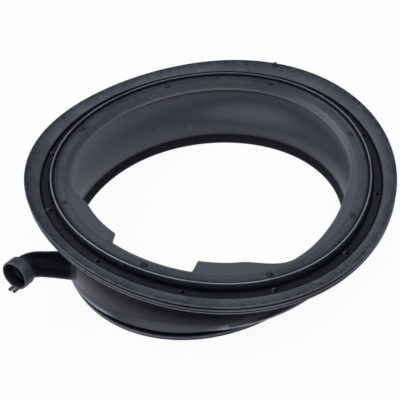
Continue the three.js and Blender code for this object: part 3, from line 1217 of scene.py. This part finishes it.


# Shares of the painted shade, which darkens towards black: the channel, the grooves round
# the lip's side, the wall in the collar's shadow, the clamp groove and the rear crease
def paintedShadeShares(places, normals):
    radius, height = frontRows(places)
    least = shareAmounts["shadowLeast"]
    shaded = least + (1 - least) * towards(places, *shareLimits["shadowSide"])
    shaded = shaded * ramp(outwardShares(places, normals), *shareLimits["facesOut"])
    shares = [
        bandShares(radius, height, frontShadeBands),
        bandShares(radius, height, collarShadow) * shaded,
        bandShares(*rearRows(places), rearShadeBands),
    ]
    return np.maximum.reduce(shares)


# How far the flaps reach inwards at each vertex
def flapReach(places):
    turn = np.degrees(np.arctan2(places[:, 1], places[:, 0]))
    reach = np.zeros(len(places))
    for flap in flaps:
        turned = np.mod(turn - flap["from"], 360)
        length = flap["to"] - flap["from"]
        rising = eased(ramp(turned, 0, flap["rise"]))
        falling = eased(1 - ramp(turned, length - flap["fall"], length))
        reach += flap["width"] * rising * falling
    return reach


# Share of the painted highlight along the wall's fold, which follows whichever stands out
# further, fold or foot
def foldHighlightShares(places):
    around, above = rearRows(places)
    turn = rearAngles(places)
    wave = waveAt("Rear Oval", turn)
    lowestPush = outerPush(1 - 1 / meshSizes["wallSteps"])
    foldEdge = sealSizes["foldWidth"] + waveAt("Fold Oval", turn)
    footEdge = sealSizes["creaseWidth"] + lowestPush + wave
    beyond = around + wave - sealSizes["rearRadius"] - np.maximum(foldEdge, footEdge)
    return foldHighlight["share"] * band(beyond, foldHighlight["across"]) * band(above, foldHighlight["height"])


# Share of the painted glints on one side of the blind holes
def holeGlintShares(places, height):
    glints = np.zeros(len(places))
    for x, y, _ in (offset.T for offset in offsetsFrom(places, "hole", holeSizes, "channelFloor")):
        edge = np.hypot(x, y) - holeSizes["diameter"] / 2
        glints = np.maximum(glints, band(edge, holeGlint["across"]) * ramp(y - x, *holeGlint["side"]))
    return holeGlint["share"] * glints * ramp(height, *holeGlint["height"])


# Share of the painted highlight round the spout's mouth
def mouthHighlightShares(places):
    offset = places - np.array(alongEnd(spoutSizes["endLength"]))
    reach = np.linalg.norm(offset, axis=1) - spoutSizes["endRadius"]
    rim = ramp(offset @ np.array(endWay), *mouthHighlight["along"])
    return mouthHighlight["share"] * (1 - ramp(reach, *mouthHighlight["reach"])) * rim


# Share of the painted highlights along the crests: the thin rim, both edges of the lip, the
# ribs, the inner bead, the fold above the clamp groove and the rear flange's ridge, with the
# glints at the blind holes and round the spout's mouth
def paintedHighlightShares(places):
    radius, height = frontRows(places)
    shares = [
        bandShares(radius, height, frontHighlights),
        bandShares(radius + flapReach(places), height, beadHighlight),
        bandShares(*rearRows(places), rearHighlights),
        foldHighlightShares(places),
        holeGlintShares(places, height),
        mouthHighlightShares(places),
    ]
    return np.maximum.reduce(shares)


# Share of the lip's top, where dust settles
def lipShares(places):
    radius, height = frontRows(places)
    across = ramp(radius, radii["channelOuter"] + 0.001, radii["lip"] - 0.006)
    return across * ramp(height, *shareLimits["lipTop"])


# Share of the face, the funnel and the flaps inside the rim
def faceShares(places):
    radius, height = frontRows(places)
    funnel = 1 - ramp(radius, radii["faceInner"] - 0.003, radii["faceInner"] - 0.001)
    face = 1 - ramp(radius, radii["faceOuter"] - 0.001, radii["faceOuter"])
    share = shareAmounts["funnel"]
    return (share * funnel + (1 - share) * face) * ramp(height, *shareLimits["ringTop"])


# Share of the painted shade by side on upward surfaces, which also lose gloss there: the
# lip's far right, and the face at its far side and, less so, at its near side
def sideShadeShares(places):
    radius, height = frontRows(places)
    lip = ramp(radius, radii["channelOuter"], radii["channelOuter"] + 0.001)
    lip = lip * towards(places, *shareLimits["lipFar"])
    near = shareAmounts["nearSideShade"] * towards(places, *shareLimits["faceNear"])
    near = near * ramp(radius, radii["faceInner"] - 0.001, radii["faceInner"])
    face = np.maximum(towards(places, *shareLimits["faceFar"]), near)
    face = face * (1 - ramp(radius, radii["channelInner"], radii["channelOuter"]))
    shares = np.maximum(lip, shareAmounts["faceSideShade"] * face)
    return shares * ramp(height, *shareLimits["ringTop"])


# Share of the smooth bellows wall
def wallShares(places):
    height = frontRows(places)[1]
    foot = ramp(places[:, 2], *shareLimits["wallFoot"])
    return (1 - ramp(height, *shareLimits["wallTop"])) * foot


# Share of the painted sheen: the wall's inside, its foot, and the rear flange
def skinShares(places, normals):
    least = shareAmounts["outerSkin"]
    inwards = ramp(-outwardShares(places, normals), *shareLimits["facesIn"])
    foot = 1 - ramp(places[:, 2], *shareLimits["skinFoot"])
    flange = shareAmounts["flangeSkin"] * (1 - ramp(places[:, 2], *shareLimits["flange"]))
    side = least + (1 - least) * inwards
    return np.maximum(wallShares(places) * np.maximum(side, foot), flange)


# Share of the painted shadow on the spout outside the wall, full along its arm and less along
# its end
def spoutShadowShares(places):
    apart = []
    beyondMouth = 2 * spoutSizes["endLength"]
    pipes = ((alongArm(0), armWay, spoutSizes["armLength"]), (alongEnd(0), endWay, beyondMouth))
    for start, way, length in pipes:
        offset = places - np.array(start)
        along = np.clip(offset @ np.array(way), 0, length)
        apart.append(np.linalg.norm(offset - along[:, None] * np.array(way), axis=1))
    fromRoot = (places - np.array(alongArm(0))) @ np.array(armWay)
    outside = ramp(fromRoot, *shareLimits["spoutRoot"])
    near = 1 - ramp(np.minimum(*apart), *shareLimits["spoutSurface"])
    radius = spoutSizes["endRadius"]
    skin = ramp(apart[1], radius - spoutSizes["thickness"], radius - 0.001)
    paler = shareAmounts["spoutEnd"] + shareAmounts["spoutSkin"] * skin
    return outside * near * (1 - paler * ramp(apart[0] - apart[1], *shareLimits["spoutEnd"]))


# The black rubber: a satin blue-black with soft clouding, fine grain, edges paler from both
# wear and a painted sheen, dust on the lip and a few scuffs. Its colour also holds painted
# light: painted shade in hollows and sheltered places, a painted shadow under the collar
# and along the spout's arm, a painted sheen on the wall, and painted highlights on crests.
# A range turns what lies between its first two numbers into what lies between its last two.
rubberLooks = {
    "base": (0.0105, 0.0122, 0.0175, 1.0),
    "pale": (0.0165, 0.0185, 0.0250, 1.0),
    # paler convex edges, partly wear and partly a painted sheen
    "worn": (0.045, 0.049, 0.060, 1.0),
    # the painted sheen's colour on the wall and the rear flange
    "wall": (0.0470, 0.0505, 0.0630, 1.0),
    "face": (0.0640, 0.0680, 0.0800, 1.0),
    "lip": (0.0080, 0.0090, 0.0120, 1.0),
    # the colour that the painted shade and painted shadows darken towards
    "deep": (0.0022, 0.0029, 0.0050, 1.0),
    "dust": (0.170, 0.180, 0.200, 1.0),
    # the colour of the painted highlights
    "paintedHighlight": (0.80, 0.83, 0.90, 1.0),
    "cloudRange": (0.38, 0.62, 0.0, 1.0),
    "scuffRange": (0.66, 0.74, 0.0, 0.5),
    "wearAndSheenRange": (0.35, 0.6, 0.15, 0.75),
    "speckRange": (0.56, 0.62, 0.0, 0.5),
    "settledRange": (0.45, 0.65, 0.1, 1.0),
    # how sheltered places darken into painted shade
    "shelterRange": (0.18, 0.6, 0.0, 0.92),
    "highlightRange": (0.35, 0.6, 0.5, 1.0),
    "roughnessRange": (0.3, 0.7, 0.38, 0.56),
    "glossRange": (0.18, 0.6, 0.5, 0.12),
    "mottleShare": 0.45,
    "lipShade": 0.6,
    "spoutShade": 0.9,
    "hollowShade": 0.97,
    "glossLoss": {"paintedShade": 0.92, "lipTop": 0.05, "spoutShadow": 0.9, "sideShade": 0.75},
    "wallRoughness": 0.33,
    "wornRoughness": 0.05,
    "speckScale": 640.0,
    "scuffScale": 75.0,
    "scuffStretch": (1.0, 1.0, 0.35),
    "cloudScale": 16.0,
    "mottleScale": 150.0,
    "grainScale": 2600.0,
    "grainStrength": 0.5,
    "grainHeight": 0.00003,
    "rippleScale": 90.0,
    "rippleStrength": 0.35,
    "rippleHeight": 0.00006,
}


def noiseNode(tree, place, scale, detail, roughness=0.5):
    inputs = {"Vector": place, "Scale": scale, "Detail": detail, "Roughness": roughness}
    return addNode(tree, "ShaderNodeTexNoise", inputs).outputs[0]


def bumpNode(tree, strength, distance, height, under=None):
    inputs = {"Strength": strength, "Distance": distance, "Height": height, "Normal": under}
    return addNode(tree, "ShaderNodeBump", inputs).outputs[0]


def mixColours(tree, share, first, second):
    inputs = {0: share, 6: first, 7: second}
    return addNode(tree, "ShaderNodeMix", inputs, data_type="RGBA").outputs[2]


def mixShaders(tree, share, first, second):
    inputs = {0: share, 1: first.outputs[0], 2: second.outputs[0]}
    return addNode(tree, "ShaderNodeMixShader", inputs).outputs[0]


def shareNode(tree, name):
    return addNode(tree, "ShaderNodeAttribute", attribute_name=name).outputs["Fac"]


def buildRubber():
    looks = rubberLooks
    material = bpy.data.materials.new("black_rubber_satin")
    material.use_nodes = True
    tree = material.node_tree
    shader = tree.nodes["Principled BSDF"]
    place = addNode(tree, "ShaderNodeTexCoord").outputs["Object"]
    names = ("skin", "face", "wall", "lipTop", "edgeShare", "shelter", "paintedShade", "paintedHighlight", "sideShade")
    share = {name: shareNode(tree, name) for name in names + ("spoutShadow",)}

    cloud = noiseNode(tree, place, looks["cloudScale"], 3.0)
    mottle = noiseNode(tree, place, looks["mottleScale"], 4.0, 0.6)
    stretch = {"Vector": place, "Scale": looks["scuffStretch"]}
    smear = addNode(tree, "ShaderNodeMapping", stretch).outputs[0]
    scratch = noiseNode(tree, smear, looks["scuffScale"], 5.0, 0.65)
    speck = noiseNode(tree, place, looks["speckScale"], 1.0)
    clouding = blend(tree, looks["mottleShare"], cloud, mottle)
    scuff = times(tree, share["wall"], rangeNode(tree, scratch, *looks["scuffRange"]))
    worn = times(tree, share["edgeShare"], rangeNode(tree, mottle, *looks["wearAndSheenRange"]))
    settled = times(tree, share["lipTop"], rangeNode(tree, mottle, *looks["settledRange"]))
    specks = times(tree, rangeNode(tree, speck, *looks["speckRange"]), settled)
    paintedHighlight = times(tree, share["paintedHighlight"], rangeNode(tree, cloud, *looks["highlightRange"]))
    layers = [
        (rangeNode(tree, clouding, *looks["cloudRange"]), "pale"),
        # painted sheen on the wall's inside, its foot and the rear flange
        (share["skin"], "wall"),
        (share["face"], "face"),
        (scuff, "dust"),
        (times(tree, share["lipTop"], looks["lipShade"]), "lip"),
        # convex edges paler from wear and from a painted sheen
        (worn, "worn"),
        (specks, "dust"),
        # painted shadow along the spout's arm
        (times(tree, share["spoutShadow"], looks["spoutShade"]), "deep"),
        # painted shade in sheltered places
        (rangeNode(tree, share["shelter"], *looks["shelterRange"]), "deep"),
        # painted shade in the hollows and the collar's painted shadow
        (times(tree, share["paintedShade"], looks["hollowShade"]), "deep"),
        # painted highlights along the crests
        (paintedHighlight, "paintedHighlight"),
    ]
    colour = looks["base"]
    for amount, name in layers:
        colour = mixColours(tree, amount, colour, looks[name])
    feed(tree, shader.inputs["Base Color"], colour)

    mottled = rangeNode(tree, mottle, *looks["roughnessRange"])
    rough = blend(tree, share["wall"], mottled, looks["wallRoughness"])
    rough = calc(tree, "MULTIPLY_ADD", share["edgeShare"], looks["wornRoughness"], rough)
    feed(tree, shader.inputs["Roughness"], rough)
    gloss = rangeNode(tree, share["shelter"], *looks["glossRange"])
    for name, loss in looks["glossLoss"].items():
        gloss = calc(tree, "MULTIPLY_ADD", times(tree, share[name], gloss), -loss, gloss)
    feed(tree, shader.inputs["Specular IOR Level"], gloss)

    ripple = noiseNode(tree, place, looks["rippleScale"], 2.0)
    grain = noiseNode(tree, place, looks["grainScale"], 2.0)
    under = bumpNode(tree, looks["rippleStrength"], looks["rippleHeight"], ripple)
    over = bumpNode(tree, looks["grainStrength"], looks["grainHeight"], grain, under)
    feed(tree, shader.inputs["Normal"], over)
    return material


# Moves the finished mesh so that its footprint's middle, on the ground, is the origin
def settle(mesh):
    places = vertexRows(mesh)[0]
    low = places.min(axis=0)
    high = places.max(axis=0)
    shift = -Vector(((low[0] + high[0]) / 2, (low[1] + high[1]) / 2, low[2]))
    mesh.transform(Matrix.Translation(shift))
    mesh.update()
    return shift


# Stores what the shader reads at each vertex, and settles the mesh between the two halves
def storeShares(mesh):
    places, normals, _ = vertexRows(mesh)
    rings, discs = markShares(places)
    sideShade = sideShadeShares(places)
    shares = {
        # painted shade in the hollows and in the bottoms of the mark rings
        "paintedShade": np.maximum(paintedShadeShares(places, normals), rings),
        "edgeShare": edgeShares(mesh),
        "paintedHighlight": paintedHighlightShares(places),
        "lipTop": lipShares(places),
        "wall": wallShares(places),
        "skin": skinShares(places, normals),
        "sideShade": sideShade,
        # the face's paleness fades where the painted side shade falls
        "face": faceShares(places) * (1 - shareAmounts["sideShadeDimming"] * sideShade),
        "spoutShadow": spoutShadowShares(places),
    }
    for name, values in shares.items():
        storeNumbers(mesh, name, values)
    print("settled by", [round(value, 5) for value in settle(mesh)])
    # Painted shade from shelter, kept off the small discs inside the marks
    storeNumbers(mesh, "shelter", shelterShares(mesh) * (1 - discs))


def buildSeal():
    rubber = buildRubber()
    seal = buildRing(rubber)
    print("ring swept:", len(seal.data.polygons), "faces")
    spout = buildTube("spout", spoutRoute(0.0, 0.0, 0.0), rubber)
    for piece in [spout, buildNub(rubber), buildGusset(rubber), *buildProngs(rubber)]:
        combine(seal, piece, "UNION")
    print("spout, nub, gusset and prongs joined:", len(seal.data.polygons), "faces")
    size = spoutSizes
    boreRoute = spoutRoute(size["thickness"], size["boreStart"], size["boreEnd"])
    holes = buildCutters("hole", holeSizes, "channelFloor", rubber)
    marks = buildCutters("mark", markSizes, "face", rubber)
    for piece in [buildTube("bore", boreRoute, rubber), buildSlit(rubber), holes, marks]:
        combine(seal, piece, "DIFFERENCE")
    print("bore, slit, holes and marks cut:", len(seal.data.polygons), "faces")
    mesh = seal.data
    mesh.name = "seal_body"
    seal.name = "seal_body"
    storeShares(mesh)
    mesh.calc_loop_triangles()
    print("edges and sheltered places found,", len(mesh.loop_triangles), "triangles")
    mesh.shade_smooth()
    mesh.set_sharp_from_angle(angle=math.radians(meshSizes["sharpAngle"]))
    return seal


# Studio: a white floor that glows into the camera, a soft light from the right above it,
# a smaller one from the left and two long strips in front. The floor's mirror image in
# the rubber fades away from the seal, and round the dim place in front of it.
studioSizes = {
    "floorSize": 16.0,
    "floorGlow": 0.93,
    "floorShade": 0.80,
    "bounceShade": 0.25,
    "mirrorGlow": 0.85,
    "mirrorFade": (0.26, 0.55),
    "dimPlace": (0.07, -0.26, 0.0),
    "dimFade": (0.05, 0.21),
    "dimShare": 0.10,
    "coolWhite": (0.87, 0.91, 1.0, 1.0),
    "white": (1.0, 1.0, 1.0, 1.0),
    "worldLight": 0.19,
}
lamps = [
    {"name": "key_light", "place": (0.75, -0.35, 1.55), "size": (1.5, 1.5), "power": 21},
    {"name": "left_light", "place": (-1.10, 0.35, 1.10), "size": (0.8, 0.8), "power": 15},
    {"name": "front_light", "place": (-0.35, -1.40, 0.95), "size": (3.0, 0.5), "power": 8},
    {"name": "low_light", "place": (-0.60, -1.25, 0.40), "size": (1.4, 0.3), "power": 2.0},
]


def buildLamp(name, place, size, power):
    light = bpy.data.lights.new(name, "AREA")
    light.shape = "RECTANGLE"
    light.size = size[0]
    light.size_y = size[1]
    light.energy = power
    light.color = studioSizes["coolWhite"][:3]
    lamp = addObject(name, light)
    lamp.location = place
    lamp.rotation_euler = (-Vector(place)).to_track_quat("-Z", "Y").to_euler()


# Fades a value round a place of the floor
def fadeNode(tree, place, centre, limits, before, after):
    apart = addNode(tree, "ShaderNodeVectorMath", {0: place, 1: centre}, operation="DISTANCE")
    distance = apart.outputs["Value"]
    return rangeNode(tree, distance, *limits, before, after, "SMOOTHSTEP")


def floorMaterial():
    studio = studioSizes
    material = bpy.data.materials.new("white_floor")
    material.use_nodes = True
    tree = material.node_tree
    tree.nodes.clear()
    paths = addNode(tree, "ShaderNodeLightPath").outputs
    ray = paths["Is Camera Ray"]
    lighter = studio["floorShade"] - studio["bounceShade"]
    shade = calc(tree, "MULTIPLY_ADD", ray, lighter, studio["bounceShade"])
    plain = addNode(tree, "ShaderNodeBsdfDiffuse", {"Color": shade})
    light = mixColours(tree, ray, studio["coolWhite"], studio["white"])
    glow = addNode(tree, "ShaderNodeEmission", {"Color": light, "Strength": 1.0})
    place = addNode(tree, "ShaderNodeTexCoord").outputs["Object"]
    near = fadeNode(tree, place, (0.0, 0.0, 0.0), studio["mirrorFade"], 1.0, 0.0)
    dim = fadeNode(tree, place, studio["dimPlace"], studio["dimFade"], studio["dimShare"], 1.0)
    mirrored = times(tree, paths["Is Glossy Ray"], studio["mirrorGlow"])
    mirrored = times(tree, mirrored, times(tree, near, dim))
    glowing = calc(tree, "MULTIPLY_ADD", ray, studio["floorGlow"], mirrored)
    mixed = mixShaders(tree, glowing, plain, glow)
    addNode(tree, "ShaderNodeOutputMaterial", {0: mixed})
    return material


def buildFloor():
    half = studioSizes["floorSize"] / 2
    corners = [(-half, -half, 0), (half, -half, 0), (half, half, 0), (-half, half, 0)]
    mesh = bpy.data.meshes.new("floor")
    mesh.from_pydata(corners, [], [(0, 1, 2, 3)])
    mesh.materials.append(floorMaterial())
    floor = addObject("floor", mesh)


def buildWorld():
    world = bpy.data.worlds.new("studio")
    bpy.context.scene.world = world
    world.use_nodes = True
    tree = world.node_tree
    tree.nodes.clear()
    softly = {"Color": studioSizes["coolWhite"], "Strength": studioSizes["worldLight"]}
    soft = addNode(tree, "ShaderNodeBackground", softly)
    white = addNode(tree, "ShaderNodeBackground", {"Color": studioSizes["white"]})
    ray = addNode(tree, "ShaderNodeLightPath").outputs["Is Camera Ray"]
    addNode(tree, "ShaderNodeOutputWorld", {0: mixShaders(tree, ray, soft, white)})


# The camera looks at a point of the floor from a given height, distance and roll
cameraSizes = {
    "target": (-0.00263, 0.03571, 0.0),
    "distance": 1.16056,
    "elevation": 42.937,
    "roll": 6.0,
    "lens": 93.19,
    "sensorWidth": 36,
}


def buildCamera():
    size = cameraSizes
    rise = math.radians(size["elevation"])
    roll = math.radians(size["roll"])
    forward = Vector((0, math.cos(rise), -math.sin(rise)))
    right = Vector((1, 0, 0))
    up = Vector((0, math.sin(rise), math.cos(rise)))
    cameraRight = math.cos(roll) * right - math.sin(roll) * up
    cameraUp = math.sin(roll) * right + math.cos(roll) * up
    axes = Matrix((cameraRight, cameraUp, -forward)).transposed()
    data = bpy.data.cameras.new("camera")
    data.lens = size["lens"]
    data.sensor_width = size["sensorWidth"]
    camera = addObject("camera", data)
    place = Vector(size["target"]) - size["distance"] * forward
    camera.matrix_world = Matrix.Translation(place) @ axes.to_4x4()
    bpy.context.scene.camera = camera


bpy.context.scene.view_settings.view_transform = "Standard"
buildCamera()
buildFloor()
buildWorld()
for lamp in lamps:
    buildLamp(**lamp)
print("studio built")

seal = buildSeal()
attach(seal, "root")
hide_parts(nodeName)
print("seal built:", len(seal.data.polygons), "faces")
